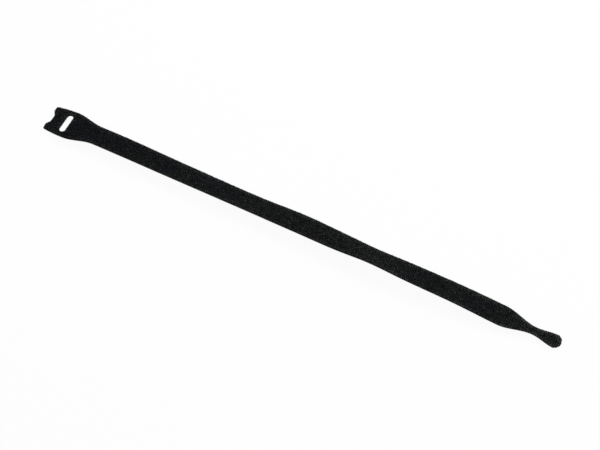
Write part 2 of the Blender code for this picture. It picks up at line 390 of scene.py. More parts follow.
def is_inside(points, line):
    """Which points a closed line goes round."""
    x, y = points.T
    result = np.zeros(len(points), bool)
    for (x0, y0), (x1, y1) in zip(line, np.roll(line, -1, axis=0)):
        if y0 != y1:
            crossing = (y0 > y) != (y1 > y)
            result ^= crossing & (x < (x1 - x0) * (y - y0) / (y1 - y0) + x0)
    return result


def is_on_tape(points, lines):
    """Which points are inside the outline and outside the slot."""
    return is_inside(points, lines[0]) & ~is_inside(points, lines[1])


def distance_to_cut(points, lines):
    """Distance of each point from the nearest cut line."""
    border = np.concatenate(lines)
    tree = kdtree.KDTree(len(border))
    for index, (x, y) in enumerate(border):
        tree.insert((x, y, 0), index)
    tree.balance()
    nearest = np.array([tree.find((x, y, 0))[1] for x, y in points])
    best = np.full(len(points), np.inf)
    for step in (-1, 1):
        start = border[nearest]
        run = np.concatenate([np.roll(line, step, axis=0) for line in lines])[nearest] - start
        share = np.clip(((points - start) * run).sum(1) / (run * run).sum(1), 0, 1)
        best = np.minimum(best, np.hypot(*(points - start - run * share[:, None]).T))
    return best


def even_points(lines, spacing):
    """Points of a triangular grid that covers the blank."""
    low = np.concatenate(lines).min(0)
    high = np.concatenate(lines).max(0)
    rows = np.arange(low[1], high[1], spacing * 0.75 ** 0.5)
    x, y = np.meshgrid(np.arange(low[0], high[0], spacing), rows)
    x = x + (np.arange(len(rows)) % 2)[:, None] * spacing / 2
    return np.stack([x.ravel(), y.ravel()], axis=1)


def face_between(lines, spacing, rings=()):
    """Points and triangles of the flat face between the cut lines, whose points come first."""
    grid = even_points(lines, spacing)
    grid = grid[is_on_tape(grid, lines)]
    clear = 0.5 * spacing + max(rings, default=0)
    inner = [grid[distance_to_cut(grid, lines) > clear]]
    for inset in rings:
        ring = np.concatenate([line - outward_of(line) * inset for line in lines])
        ring = ring[is_on_tape(ring, lines)]
        inner.append(ring[distance_to_cut(ring, lines) > 0.8 * inset])
    points = np.concatenate(lines + inner)
    edges = []
    start = 0
    for line in lines:
        numbers = np.arange(start, start + len(line))
        edges += list(zip(numbers.tolist(), np.roll(numbers, -1).tolist()))
        start += len(line)
    found = delaunay_2d_cdt([Vector(point) for point in points], edges, [], 0, 1e-9)
    if len(found[0]) != len(points):
        raise RuntimeError("the triangulation merged or added points")
    order = np.array([numbers[0] for numbers in found[3]])
    triangles = order[np.array(found[2])]
    corners = points[triangles]
    (x0, y0), (x1, y1) = (corners[:, 1] - corners[:, 0]).T, (corners[:, 2] - corners[:, 0]).T
    has_area = np.abs(x0 * y1 - x1 * y0) > LEAST_FACE
    return points, triangles[has_area & is_on_tape(corners.mean(axis=1), lines)]


# Lie of the strap

def curve_through(places, values, first_slope, last_slope):
    """Smooth curve through the given values, with the given slopes at its two ends."""
    slopes = np.gradient(values, places)
    slopes[[0, -1]] = first_slope, last_slope

    def value_at(place):
        index = np.clip(np.searchsorted(places, place, side="right") - 1, 0, len(places) - 2)
        gap = places[index + 1] - places[index]
        share = np.clip((place - places[index]) / gap, 0, 1)
        rise = ease(share)
        leaving = share * (1 - share) ** 2 * gap * slopes[index]
        arriving = share ** 2 * (share - 1) * gap * slopes[index + 1]
        return values[index] * (1 - rise) + values[index + 1] * rise + leaving + arriving

    return value_at


def lie_of_strap(strap_length):
    """Places along the strap, with the run, height, slope and twist of its hook side there."""
    bend_start = FLAT_HEAD_LENGTH
    bend_end = strap_length - FLAT_TAIL_LENGTH
    shares, heights, twists = (np.array(column) for column in zip(*LIE))
    inner = bend_start + shares * (bend_end - bend_start)
    places = np.concatenate([[bend_start], inner, [bend_end]])
    heights = np.concatenate([[bend_start * sin(HEAD_TILT)], heights,
                              [FLAT_TAIL_LENGTH * sin(TAIL_TILT)]])
    arch = curve_through(places, heights, sin(HEAD_TILT), -sin(TAIL_TILT))
    turn = curve_through(places, np.pad(twists, 1), 0, 0)

    margin = 4 * LIE_STEP
    count = ceil((strap_length + 2 * margin) / LIE_STEP)
    along = np.linspace(-margin, strap_length + margin, count + 1)
    in_head = along < bend_start
    in_tail = along > bend_end
    height = np.where(in_head, along * sin(HEAD_TILT), arch(along))
    height = np.where(in_tail, (strap_length - along) * sin(TAIL_TILT), height)
    twist = np.where(in_head | in_tail, 0, turn(along))
    slope = np.gradient(height, along)
    pace = np.sqrt(1 - slope ** 2)
    steps = (pace[1:] + pace[:-1]) / 2 * np.diff(along)
    return along, np.concatenate([[0], np.cumsum(steps)]), height, slope, twist


def laid_points(flat, strap_length):
    """Where the arched and twisted strap has the flat blank's points, before its last shift."""
    place, across, lift = flat.T
    along, *columns = lie_of_strap(strap_length)
    x, z, sine, turn = (np.interp(place, along, column) for column in columns)
    cosine = np.sqrt(1 - sine ** 2)
    raised = across * np.sin(turn) + lift * np.cos(turn)
    return np.stack([x - raised * sine,
                     across * np.cos(turn) - lift * np.sin(turn),
                     z + raised * cosine], axis=1)


def shift_to_cad(sizes):
    """Shift that brings the laid outline into the CAD solid's box."""
    outline = blank_lines(sizes)[0]
    low, high = (laid_points(np.column_stack([outline, np.full(len(outline), level)]),
                             sizes.strap_length)
                 for level in (0.0, sizes.thickness - sizes.edge_round))
    cad_low, cad_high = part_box(CAD_NODE)
    both = np.concatenate([low, high])
    middle = (both.min(0) + both.max(0)) / 2
    return np.array([(cad_low.x + cad_high.x) / 2 - middle[0],
                     (cad_low.y + cad_high.y) / 2 - middle[1],
                     cad_low.z - low[:, 2].min()])


def lay(mesh):
    """Keep the flat places as an attribute and move the mesh to where the strap lies."""
    sizes = bpy.context.scene.strap_sizes
    count = len(mesh.vertices)
    flat = np.empty(count * 3)
    mesh.vertices.foreach_get("co", flat)
    kept = mesh.attributes.new("flat_place", "FLOAT_VECTOR", "POINT")
    kept.data.foreach_set("vector", flat)
    laid = laid_points(flat.reshape(count, 3), sizes.strap_length) + shift_to_cad(sizes)
    mesh.vertices.foreach_set("co", laid.ravel())
    mesh.update()


# Objects

def add_object(name, data):
    """Object of the scene with the given data."""
    item = bpy.data.objects.new(name, data)
    bpy.context.scene.collection.objects.link(item)
    return item


def keep_values(mesh, name, values):
    """Keep one value for each vertex as an attribute."""
    mesh.attributes.new(name, "FLOAT", "POINT").data.foreach_set("value", values)


def mesh_of(name, points, faces):
    """Plain mesh from points and faces."""
    mesh = bpy.data.meshes.new(name)
    mesh.from_pydata([tuple(point) for point in points], [], [tuple(face) for face in faces])
    mesh.update()
    return mesh


def at_height(points, height):
    """Flat points lifted to one height."""
    return np.column_stack([points, np.full(len(points), height)])


def finish_piece(item):
    """Lay a finished flat piece and let it ride on the strap's body."""
    lay(item.data)
    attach(item, BODY)


# Nodes

def socket_named(sockets, name):
    """The shown socket with that name or identifier."""
    for socket in sockets:
        if socket.enabled and name in (socket.name, socket.identifier):
            return socket
    raise KeyError(name)


def add_node(tree, kind, inputs=None, **options):
    """Add a node, set its options, and fill or link its inputs."""
    node = tree.nodes.new(kind)
    for option, value in options.items():
        setattr(node, option, value)
    for name, value in (inputs or {}).items():
        socket = node.inputs[name] if isinstance(name, int) else socket_named(node.inputs, name)
        if isinstance(value, bpy.types.NodeSocket):
            tree.links.new(value, socket)
        else:
            socket.default_value = value
    return node


def output_of(tree, kind, inputs=None, **options):
    """First output of a new node."""
    return add_node(tree, kind, inputs, **options).outputs[0]


def calculate(tree, operation, *values):
    """Output of a Math node."""
    return output_of(tree, "ShaderNodeMath", dict(enumerate(values)), operation=operation)


def product(tree, first, *others):
    """Product of several values."""
    for other in others:
        first = calculate(tree, "MULTIPLY", first, other)
    return first


def vector(tree, x=0.0, y=0.0, z=0.0):
    """A vector from its three values."""
    return output_of(tree, "ShaderNodeCombineXYZ", {"X": x, "Y": y, "Z": z})


def axis(tree, place, name):
    """One value of a vector."""
    return add_node(tree, "ShaderNodeSeparateXYZ", {"Vector": place}).outputs[name]


def mapped(tree, value, start, end, low=0.0, high=1.0, blend="LINEAR"):
    """Value carried from one range to another."""
    return output_of(tree, "ShaderNodeMapRange", {
        "Value": value, "From Min": start, "From Max": end, "To Min": low, "To Max": high},
        interpolation_type=blend)


def noise_at(tree, place, scale, detail, distortion=0.0):
    """Outputs of a noise."""
    return add_node(tree, "ShaderNodeTexNoise", {
        "Vector": place, "Scale": scale, "Detail": detail, "Distortion": distortion}).outputs


def per_metre(tree, size):
    """Scale of a noise with lumps of that size."""
    return calculate(tree, "DIVIDE", 1.0, size)


def row_wave(tree, place, given, drift=None):
    """Wave of the knitted rows along the strap, measured square to rows that slant."""
    along = calculate(tree, "MULTIPLY_ADD", axis(tree, place, "Y"), given["Row Slant"],
                      axis(tree, place, "X"))
    rows = calculate(tree, "DIVIDE", along, given["Row Pitch"])
    if drift is not None:
        rows = calculate(tree, "MULTIPLY_ADD", drift, given["Wander"], rows)
    return calculate(tree, "COSINE", product(tree, rows, 2 * pi))


def shown_rows(tree, place, given):
    """How much of the knitted rows shows, less on the worn head."""
    return mapped(tree, axis(tree, place, "X"), given["Fade Start"], given["Fade End"],
                  given["Worn Share"])


def new_tree(name, kind, inputs, outputs):
    """Node group, its given values and its ends; a socket has a default or only its kind."""
    tree = bpy.data.node_groups.new(name, kind)
    for direction, sockets in (("INPUT", inputs), ("OUTPUT", outputs)):
        for label, value in sockets.items():
            word = value if isinstance(value, str) else type(value).__name__.capitalize()
            socket = tree.interface.new_socket(label, in_out=direction,
                                               socket_type="NodeSocket" + word)
            if word != value:
                socket.default_value = value
    start, end = (tree.nodes.new("NodeGroup" + way) for way in ("Input", "Output"))
    return tree, start.outputs, end.inputs


def grow(name, base, tree, values):
    """Object grown from the base mesh by a geometry node tree, turned into a plain mesh."""
    item = add_object(name, base)
    modifier = item.modifiers.new(tree.name, "NODES")
    modifier.node_group = tree
    for socket in tree.interface.items_tree:
        if socket.in_out == "INPUT" and socket.name in values:
            modifier[socket.identifier] = values[socket.name]
    evaluated = item.evaluated_get(bpy.context.evaluated_depsgraph_get())
    mesh = bpy.data.meshes.new_from_object(evaluated)
    item.modifiers.remove(modifier)
    item.data = mesh
    mesh.name = name
    bpy.data.meshes.remove(base)
    if not mesh.polygons:
        raise RuntimeError(name + " has no faces")
    return item


# Shader groups

def thread_shades():
    """Group: uneven dye and fine thread grain, as a shade from 0 to 1 and a height."""
    tree, given, end = new_tree("thread_shades", "ShaderNodeTree", {
        "Place": "Vector", "Patch Size": 3.0 * MM, "Grain Size": 0.4 * MM, "Grain Share": 0.5},
        {"Shade": "Float", "Height": "Float"})
    patches = noise_at(tree, given["Place"], per_metre(tree, given["Patch Size"]), 2.0)[0]
    grain = noise_at(tree, given["Place"], per_metre(tree, given["Grain Size"]), 1.0)[0]
    shade = output_of(tree, "ShaderNodeMix", {
        "Factor": given["Grain Share"], "A": mapped(tree, patches, *NOISE_SPREAD),
        "B": mapped(tree, grain, *NOISE_SPREAD)})
    tree.links.new(shade, end["Shade"])
    tree.links.new(grain, end["Height"])
    return tree


def knitted_rows():
    """Group: rows of the knitted ground that cross the strap, as a height from 0 to 1."""
    tree, given, end = new_tree("knitted_rows", "ShaderNodeTree", {
        "Place": "Vector", "Row Pitch": 1.36 * MM, "Row Slant": 0.17, "Wander": 0.3,
        "Fade Start": 40.0 * MM, "Fade End": 85.0 * MM, "Worn Share": 0.35}, {"Height": "Float"})
    drift = noise_at(tree, given["Place"], ROW_DRIFT_PER_METRE, 1.0)[0]
    wave = row_wave(tree, given["Place"], given, drift)
    faded = product(tree, wave, shown_rows(tree, given["Place"], given))
    tree.links.new(calculate(tree, "MULTIPLY_ADD", faded, 0.5, 0.5), end["Height"])
    return tree


def caught_lint():
    """Group: mask of the sparse dust specks that the tape has caught."""
    tree, given, end = new_tree("caught_lint", "ShaderNodeTree", {
        "Place": "Vector", "Speck Size": 0.5 * MM, "Amount": 0.1}, {"Mask": "Float"})
    specks = noise_at(tree, given["Place"], per_metre(tree, given["Speck Size"]), 1.0, 1.2)[0]
    mask = mapped(tree, specks, *SPECK_SPREAD)
    tree.links.new(product(tree, mask, given["Amount"]), end["Mask"])
    return tree


def handled_pile():
    """Group: brightness of painted light and shade along the strap, darker at the head and lighter
    at the twisted middle and the tab, and a lighter rim that is partly rubbed pile and partly
    painted sheen, painted lighter on the far side than the near.
    """
    tree, given, end = new_tree("handled_pile", "ShaderNodeTree", {
        "Place": "Vector", "Depth": 0.0, "Head": 0.67, "Body": 1.0, "Middle": 1.16, "Tab": 1.6,
        "Near Rim": 2.5, "Far Rim": 2.75}, {"Brightness": "Float"})
    sizes = bpy.context.scene.strap_sizes
    place = axis(tree, given["Place"], "X")
    across = axis(tree, given["Place"], "Y")
    # Painted shade and light: the head is darker and the tab lighter, as a lamp on the tab's side
    # would make them.
    from_head = mapped(tree, place, 0.0, HEAD_SHADE_HEADS * sizes.head_length, given["Head"],
                       given["Body"], "SMOOTHSTEP")
    tab_at = sizes.strap_length - sizes.tab_length
    to_tab = mapped(tree, place, tab_at - TAB_LIGHT_SHOULDERS * sizes.shoulder_length, tab_at, 0.0,
                    calculate(tree, "SUBTRACT", given["Tab"], given["Body"]), "SMOOTHSTEP")
    # Painted light: lighter around the middle, where the strap twists towards the lamp.
    off_middle = calculate(tree, "ABSOLUTE", calculate(
        tree, "SUBTRACT", place, MIDDLE_AT * sizes.strap_length))
    in_middle = mapped(tree, off_middle, 0.0, MIDDLE_REACH * sizes.strap_length,
                       given["Middle"], 1.0, "SMOOTHSTEP")
    along = product(tree, in_middle, calculate(tree, "ADD", from_head, to_tab))
    # Lighter rim at the cut: partly rubbed pile and partly painted sheen; the far rim is painted
    # lighter and wider than the near one.
    sides = (-sizes.neck_width / 2, sizes.neck_width / 2)
    rim_value = mapped(tree, across, *sides, given["Near Rim"], given["Far Rim"])
    rim_width = mapped(tree, across, *sides,
                       *[share * sizes.rim_width for share in RIM_LIGHT_AND_WEAR_WIDTHS])
    rim = mapped(tree, given["Depth"], 0.0, rim_width, rim_value, 1.0, "SMOOTHSTEP")
    tree.links.new(product(tree, along, rim), end["Brightness"])
    return tree


def dye_cast():
    """Group: where the dye is bluer, from 0 to 1."""
    parts = {"Head Share": 0.45, "Middle Share": -0.55, "Tail Share": 0.0, "Tab Share": -0.8}
    tree, given, end = new_tree("dye_cast", "ShaderNodeTree", {
        "Place": "Vector", "Size": 9.0 * MM, **parts}, {"Share": "Float"})
    whole = bpy.context.scene.strap_sizes.strap_length
    along = axis(tree, given["Place"], "X")
    shares = [given[label] for label in parts]
    lengthwise = shares[0]
    for (first, last), earlier, later in zip(DYE_CHANGES, shares, shares[1:]):
        change = mapped(tree, along, first * whole, last * whole, 0.0,
                        calculate(tree, "SUBTRACT", later, earlier))
        lengthwise = calculate(tree, "ADD", lengthwise, change)
    clouds = noise_at(tree, given["Place"], per_metre(tree, given["Size"]), 2.0)[0]
    spread = mapped(tree, clouds, *NOISE_SPREAD)
    share = output_of(tree, "ShaderNodeClamp", {
        "Value": calculate(tree, "ADD", spread, lengthwise)})
    tree.links.new(share, end["Share"])
    return tree


def shared(tree, make, place, **inputs):
    """Outputs of the shader group that a function makes once, with its own values here."""
    node = tree.nodes.new("ShaderNodeGroup")
    node.node_tree = bpy.data.node_groups.get(make.__name__) or make()
    tree.links.new(place, node.inputs["Place"])
    for name, value in inputs.items():
        socket = node.inputs[name.replace("_", " ").title()]
        if isinstance(value, bpy.types.NodeSocket):
            tree.links.new(value, socket)
        else:
            socket.default_value = value
    return node.outputs


# Finishes

def new_finish(name):
    """Material with its tree, its shader and the flat place that its patterns follow."""
    material = bpy.data.materials.new(name)
    material.use_nodes = True
    tree = material.node_tree
    place = add_node(tree, "ShaderNodeAttribute", attribute_name="flat_place")
    return material, tree, tree.nodes["Principled BSDF"], place.outputs["Vector"]


def kept_share(tree, name):
    """A value that a piece keeps for each vertex, 0 where it has none."""
    return add_node(tree, "ShaderNodeAttribute", attribute_name=name).outputs["Fac"]


def mixed(tree, factor, first, second):
    """Colour between two colours."""
    return add_node(tree, "ShaderNodeMix", {"Factor": factor, "A": first, "B": second},
                    data_type="RGBA").outputs[2]


def shaded(colour_value, factor=1.0):
    """A written colour made lighter or darker."""
    return (*[channel * factor for channel in colour_value], 1.0)


def between(tree, share, low, high):
    """Value from low to high as the share goes from 0 to 1."""
    return calculate(tree, "MULTIPLY_ADD", share, high - low, low)


def worn_dye(tree, place, colour_value, *brightnesses):
    """A dyed colour, bluer in places and rubbed at the rim, times its painted light and wear and
    other values.
    """
    finish = bpy.context.scene.tie_finish
    bluer, rubbed = ([channel * tint for channel, tint in zip(colour_value, tints)]
                     for tints in (finish.cast_tint, finish.rim_tint))
    depth = kept_share(tree, "edge_depth")
    inside = mapped(tree, depth, 0.0, bpy.context.scene.strap_sizes.rim_width)
    dyed = mixed(tree, shared(tree, dye_cast, place)[0], shaded(colour_value),
                 shaded(bluer))
    # The rim takes the rubbed tint, made lighter by RIM_SHADE: partly rubbed dye and partly
    # painted sheen.
    dyed = mixed(tree, inside, shaded(rubbed, RIM_SHADE), dyed)
    # Painted light and shade along the strap and painted sheen at the rim, together with the rim's
    # wear.
    painted_light_and_wear = shared(tree, handled_pile, place, depth=depth)[0]
    brightness = calculate(tree, "MINIMUM", product(tree, painted_light_and_wear, *brightnesses), PALEST_YARN)
    return output_of(tree, "ShaderNodeVectorMath", {0: dyed, "Scale": brightness},
                     operation="SCALE")


def dusted(tree, place, dyed, speck_size, amount):
    """A colour with the lint that it has caught."""
    lint = shared(tree, caught_lint, place, speck_size=speck_size, amount=amount)[0]
    return mixed(tree, lint, dyed, shaded(bpy.context.scene.tie_finish.lint_colour))


def set_surface(tree, shader, base, height, relief, gloss_by, roughness, specular):
    """Colour, fine relief by its strength and depth, and roughness that follows a shade."""
    strength, distance = relief
    bump = output_of(tree, "ShaderNodeBump", {
        "Height": height, "Strength": strength, "Distance": distance})
    gloss = mapped(tree, gloss_by, 0.0, 1.0, *roughness)
    for name, value in (("Base Color", base), ("Normal", bump), ("Roughness", gloss)):
        tree.links.new(value, shader.inputs[name])
    shader.inputs["Specular IOR Level"].default_value = specular


def knit(tree, place):
    """Height of the knitted rows, from 0 between them to 1 on them."""
    sizes = bpy.context.scene.strap_sizes
    return shared(tree, knitted_rows, place, row_pitch=sizes.row_pitch,
                  row_slant=tan(sizes.row_slant), fade_start=sizes.row_fade_start,
                  fade_end=sizes.row_fade_end, worn_share=sizes.worn_rows)[0]


def knitted_ground(name):
    """Dark knitted ground that shows between the loops."""
    material, tree, shader, place = new_finish(name)
    shade, grain = shared(tree, thread_shades, place, patch_size=2.8 * MM,
                          grain_size=1.0 * MM, grain_share=0.68)
    rows = knit(tree, place)
    dyed = worn_dye(tree, place, bpy.context.scene.tie_finish.ground_colour,
                    between(tree, shade, 0.15, 1.95), between(tree, rows, 0.4, 1.6))
    dusty = dusted(tree, place, dyed, 0.45 * MM, 0.25)
    height = calculate(tree, "MULTIPLY_ADD", rows, 0.6, grain)
    set_surface(tree, shader, dusty, height, (0.8, 0.08 * MM), grain, (0.90, 1.0), 0.08)
    return material


def dyed_loops(name):
    """Black nylon yarn of the pile."""
    material, tree, shader, place = new_finish(name)
    shade, grain = shared(tree, thread_shades, place, patch_size=2.8 * MM,
                          grain_size=1.0 * MM, grain_share=0.68)
    # Each loop's own random shade raised to a high power: most loops stay dark and a few are made
    # much lighter, partly random tone and partly painted glints of shiny filaments.
    loop_tone_and_glint = calculate(tree, "POWER", kept_share(tree, "loop_shade"), 6.0)
    dyed = worn_dye(tree, place, bpy.context.scene.tie_finish.pile_colour,
                    between(tree, shade, 0.1, 2.1), between(tree, knit(tree, place), 0.6, 1.4),
                    between(tree, loop_tone_and_glint, 0.5, 4.6))
    dusty = dusted(tree, place, dyed, 0.6 * MM, 0.3)
    set_surface(tree, shader, dusty, grain, (0.3, 0.02 * MM), grain, (0.26, 0.42), 0.13)
    return material


def cut_side(name):
    """Side of the tape where the die has cut the cloth."""
    dye = bpy.context.scene.tie_finish.edge_colour
    material, tree, shader, place = new_finish(name)
    stretched = output_of(tree, "ShaderNodeVectorMath", {0: place, 1: (1.0, 1.0, 0.25)},
                          operation="MULTIPLY")
    shade, grain = shared(tree, thread_shades, stretched, patch_size=1.2 * MM,
                          grain_size=0.16 * MM, grain_share=0.7)
    dyed = mixed(tree, shade, shaded(dye, 0.5), shaded(dye, 1.6))
    set_surface(tree, shader, dyed, grain, (0.9, 0.06 * MM), grain, (0.80, 1.0), 0.10)
    return material


def moulded_nylon(name):
    """Smooth nylon of the hooks and of the film that carries them."""
    dye = bpy.context.scene.tie_finish.hook_colour
    material, tree, shader, place = new_finish(name)
    shade, grain = shared(tree, thread_shades, place, patch_size=5.0 * MM,
                          grain_size=0.25 * MM, grain_share=0.35)
    dyed = mixed(tree, shade, shaded(dye, 0.75), shaded(dye, 1.25))
    dusty = dusted(tree, place, dyed, 0.8 * MM, 0.5)
    set_surface(tree, shader, dusty, grain, (0.25, 0.02 * MM), shade, (0.36, 0.52), 0.35)
    return material


def finish_of(make):
    """The material that a function makes, made once."""
    return bpy.data.materials.get(make.__name__) or make(make.__name__)


# Geometry node trees

def random_value(tree, kind, low, high, seed):
    """Random value for each point, between two values."""
    node = add_node(tree, "FunctionNodeRandomValue", {"Min": low, "Max": high, "Seed": seed},
                    data_type=kind)
    return socket_named(node.outputs, "Value")


def turned(tree, euler, rotation=None):
    """A rotation, or another one turned further by it in its own frame."""
    further = output_of(tree, "FunctionNodeEulerToRotation", {"Euler": euler})
    if rotation is None:
        return further
    return output_of(tree, "FunctionNodeRotateRotation", {
        "Rotation": rotation, "Rotate By": further}, rotation_space="LOCAL")


def wandering(tree, curves, size, amount):
    """Curves whose points are moved a little, each in its own direction."""
    place = output_of(tree, "GeometryNodeInputPosition")
    centred = output_of(tree, "ShaderNodeVectorMath", {
        0: noise_at(tree, place, 1 / size, 1.0)["Color"], 1: (0.5, 0.5, 0.5)},
        operation="SUBTRACT")
    offset = output_of(tree, "ShaderNodeVectorMath", {0: centred, "Scale": amount},
                       operation="SCALE")
    return output_of(tree, "GeometryNodeSetPosition", {"Geometry": curves, "Offset": offset})


def stored(tree, points, name, value):
    """Points that each keep a value."""
    return output_of(tree, "GeometryNodeStoreNamedAttribute", {
        "Geometry": points, "Name": name, "Value": value}, data_type="FLOAT", domain="POINT")


def stored_value(tree, name):
    """The value that points or vertices keep."""
    node = add_node(tree, "GeometryNodeInputNamedAttribute", {"Name": name}, data_type="FLOAT")
    return socket_named(node.outputs, "Attribute")


def with_own_shade(tree, points, seed):
    """Points that each carry a random shade, which the yarn grown there keeps."""
    return stored(tree, points, "loop_shade", random_value(tree, "FLOAT", 0.0, 1.0, seed))


def transformed(tree, geometry, **change):
    """Geometry that is moved, turned or scaled."""
    return output_of(tree, "GeometryNodeTransform", {"Geometry": geometry, **change})


def realized(tree, geometry):
    """Instances made real."""
    return output_of(tree, "GeometryNodeRealizeInstances", {"Geometry": geometry})


def spun(tree, end, curves, given):
    """Round the curves off as three-sided yarn and end the tree."""
    profile = output_of(tree, "GeometryNodeCurvePrimitiveCircle", {
        "Resolution": 3, "Radius": given["Fibre Radius"]}, mode="RADIUS")
    end_tree(tree, end, output_of(tree, "GeometryNodeCurveToMesh", {
        "Curve": curves, "Profile Curve": profile, "Fill Caps": True}), given)


def end_tree(tree, end, geometry, given):
    """Make instances real, give them their material and put them out."""
    dressed = output_of(tree, "GeometryNodeSetMaterial", {
        "Geometry": realized(tree, geometry), "Material": given["Material"]})
    tree.links.new(dressed, end[0])


def pile_tree():
    """Tree: small loops of yarn all over a face, thinner between the knitted rows."""
    tree, given, end = new_tree("pile_loops", "GeometryNodeTree", {
        "Ground": "Geometry", "Loops per Area": 4e6, "Loop Width": 0.8 * MM,
        "Loop Height": 0.4 * MM, "Fibre Radius": 0.04 * MM, "Lean": 1.0, "Curl": 0.3 * MM,
        "Row Pitch": 1.36 * MM, "Row Slant": 0.17, "Row Contrast": 0.4, "Fade Start": 40.0 * MM,
        "Fade End": 85.0 * MM, "Worn Share": 0.35, "Tuft Size": 1.1 * MM, "Tuft Contrast": 3.0,
        "Rim Width": 1.5 * MM, "Rim Density": 1.8, "Rim Scale": 0.55, "Seed": 1,
        "Material": "Material"}, {"Loops": "Geometry"})
    place = output_of(tree, "GeometryNodeInputPosition")
    tufts = noise_at(tree, place, per_metre(tree, given["Tuft Size"]), 0.0)[0]
    tufted = calculate(tree, "MULTIPLY_ADD", calculate(tree, "SUBTRACT", tufts, 0.5),
                       given["Tuft Contrast"], 1.0)
    contrast = product(tree, shown_rows(tree, place, given),
                         given["Row Contrast"])
    thinning = calculate(tree, "MULTIPLY_ADD", row_wave(tree, place, given), contrast, tufted)
    crowding, shortening = (
        mapped(tree, stored_value(tree, "edge_depth"), 0.0, given["Rim Width"], given[label])
        for label in ("Rim Density", "Rim Scale"))
    density = product(tree, thinning, crowding, given["Loops per Area"])
    feet = add_node(tree, "GeometryNodeDistributePointsOnFaces", {
        "Mesh": given["Ground"], "Density": density, "Seed": given["Seed"]},
        distribute_method="RANDOM").outputs
    arc = output_of(tree, "GeometryNodeCurveArc", {
        "Resolution": 6, "Radius": 0.5, "Start Angle": radians(-8), "Sweep Angle": radians(196)},
        mode="RADIUS")
    size = vector(tree, given["Loop Width"],
                  product(tree, given["Loop Height"], 2.0), 1.0)
    upright = transformed(tree, transformed(tree, arc, Scale=size), Rotation=(pi / 2, 0, 0))
    leaning = product(tree, given["Lean"], -1.0)
    turns = random_value(tree, "FLOAT_VECTOR", vector(tree, leaning, leaning),
                         vector(tree, given["Lean"], given["Lean"], 2 * pi), given["Seed"])
    any_scale = random_value(tree, "FLOAT", *LOOP_SCALES, given["Seed"])
    loops = output_of(tree, "GeometryNodeInstanceOnPoints", {
        "Points": with_own_shade(tree, feet["Points"], given["Seed"]), "Instance": upright,
        "Rotation": turned(tree, turns, feet["Rotation"]),
        "Scale": product(tree, any_scale, shortening)})
    curls = wandering(tree, realized(tree, loops), CURL_SIZE, given["Curl"])
    spun(tree, end, curls, given)
    return tree


def fibre_tree():
    """Tree: short cut fibres that point out of the tape's edge."""
    tree, given, end = new_tree("cut_fibres", "GeometryNodeTree", {
        "Roots": "Geometry", "Fibre Length": 0.3 * MM, "Fibre Radius": 0.02 * MM, "Seed": 1,
        "Material": "Material"}, {"Fibres": "Geometry"})
    roots = output_of(tree, "GeometryNodeMeshToPoints", {"Mesh": given["Roots"]},
                      mode="VERTICES")
    bow = output_of(tree, "GeometryNodeCurveQuadraticBezier", {
        "Resolution": 3, "Start": (-0.25, 0, 0), "Middle": (0.5, 0.12, 0.10),
        "End": (1.0, 0, 0.3)})
    sized = transformed(tree, bow, Scale=vector(tree, *[given["Fibre Length"]] * 3))
    outward = turned(tree, vector(tree, z=stored_value(tree, "heading")))
    turns = random_value(tree, "FLOAT_VECTOR", *FIBRE_TURNS, given["Seed"])
    hairs = output_of(tree, "GeometryNodeInstanceOnPoints", {
        "Points": with_own_shade(tree, roots, given["Seed"]), "Instance": sized,
        "Rotation": turned(tree, turns, outward),
        "Scale": random_value(tree, "FLOAT", *FIBRE_SCALES, given["Seed"])})
    spun(tree, end, realized(tree, hairs), given)
    return tree


def hook_tree():
    """Tree: rows of hooks under a face, every other row half a step on and turned round."""
    tree, given, end = new_tree("moulded_hooks", "GeometryNodeTree", {
        "Face": "Geometry", "Hook": "Object", "Strap Length": 0.33, "Strap Width": 0.0187,
        "Hook Pitch": 0.86 * MM, "Row Pitch": 0.74 * MM, "Seed": 1, "Material": "Material"},
        {"Hooks": "Geometry"})
    columns, rows = (calculate(tree, "CEIL", calculate(tree, "DIVIDE", given[whole], given[step]))
                     for whole, step in (("Strap Length", "Hook Pitch"),
                                         ("Strap Width", "Row Pitch")))
    in_row = calculate(tree, "ADD", rows, 1.0)
    grid = output_of(tree, "GeometryNodeMeshGrid", {
        "Size X": product(tree, columns, given["Hook Pitch"]),
        "Size Y": product(tree, rows, given["Row Pitch"]),
        "Vertices X": calculate(tree, "ADD", columns, 1.0), "Vertices Y": in_row})
    middle = vector(tree, product(tree, given["Strap Length"], 0.5))
    points = output_of(tree, "GeometryNodeMeshToPoints", {
        "Mesh": transformed(tree, grid, Translation=middle)}, mode="VERTICES")
    index = output_of(tree, "GeometryNodeInputIndex")
    odd = calculate(tree, "MODULO", calculate(tree, "MODULO", index, in_row), 2.0)
    half_pitch = product(tree, given["Hook Pitch"], 0.5)
    staggered = output_of(tree, "GeometryNodeSetPosition", {
        "Geometry": stored(tree, points, "turned_round", odd),
        "Offset": vector(tree, product(tree, odd, half_pitch))})
    cast = add_node(tree, "GeometryNodeRaycast", {
        "Target Geometry": given["Face"], "Ray Direction": (0, 0, 1), "Ray Length": 0.01})
    on_face = output_of(tree, "GeometryNodeSetPosition", {
        "Geometry": staggered, "Position": cast.outputs["Hit Position"],
        "Selection": cast.outputs["Is Hit"]})
    lifted = axis(tree, output_of(tree, "GeometryNodeInputPosition"), "Z")
    kept = output_of(tree, "GeometryNodeSeparateGeometry", {
        "Geometry": on_face, "Selection": calculate(tree, "GREATER_THAN", lifted, 0.01 * MM)},
        domain="POINT")
    half_turn = product(tree, stored_value(tree, "turned_round"), pi)
    shaking = random_value(tree, "FLOAT_VECTOR", *HOOK_TURNS, given["Seed"])
    model = add_node(tree, "GeometryNodeObjectInfo", {"Object": given["Hook"]})
    hooks = output_of(tree, "GeometryNodeInstanceOnPoints", {
        "Points": kept, "Instance": model.outputs["Geometry"],
        "Rotation": turned(tree, shaking, turned(tree, vector(tree, z=half_turn)))})
    end_tree(tree, end, hooks, given)
    return tree


# Pieces

def noise_over(points, along, across, level):
    """Noise at flat points, with lumps of that size along and across the strap."""
    return np.array([noise.noise(Vector((x / along, y / across, level))) for x, y in points])


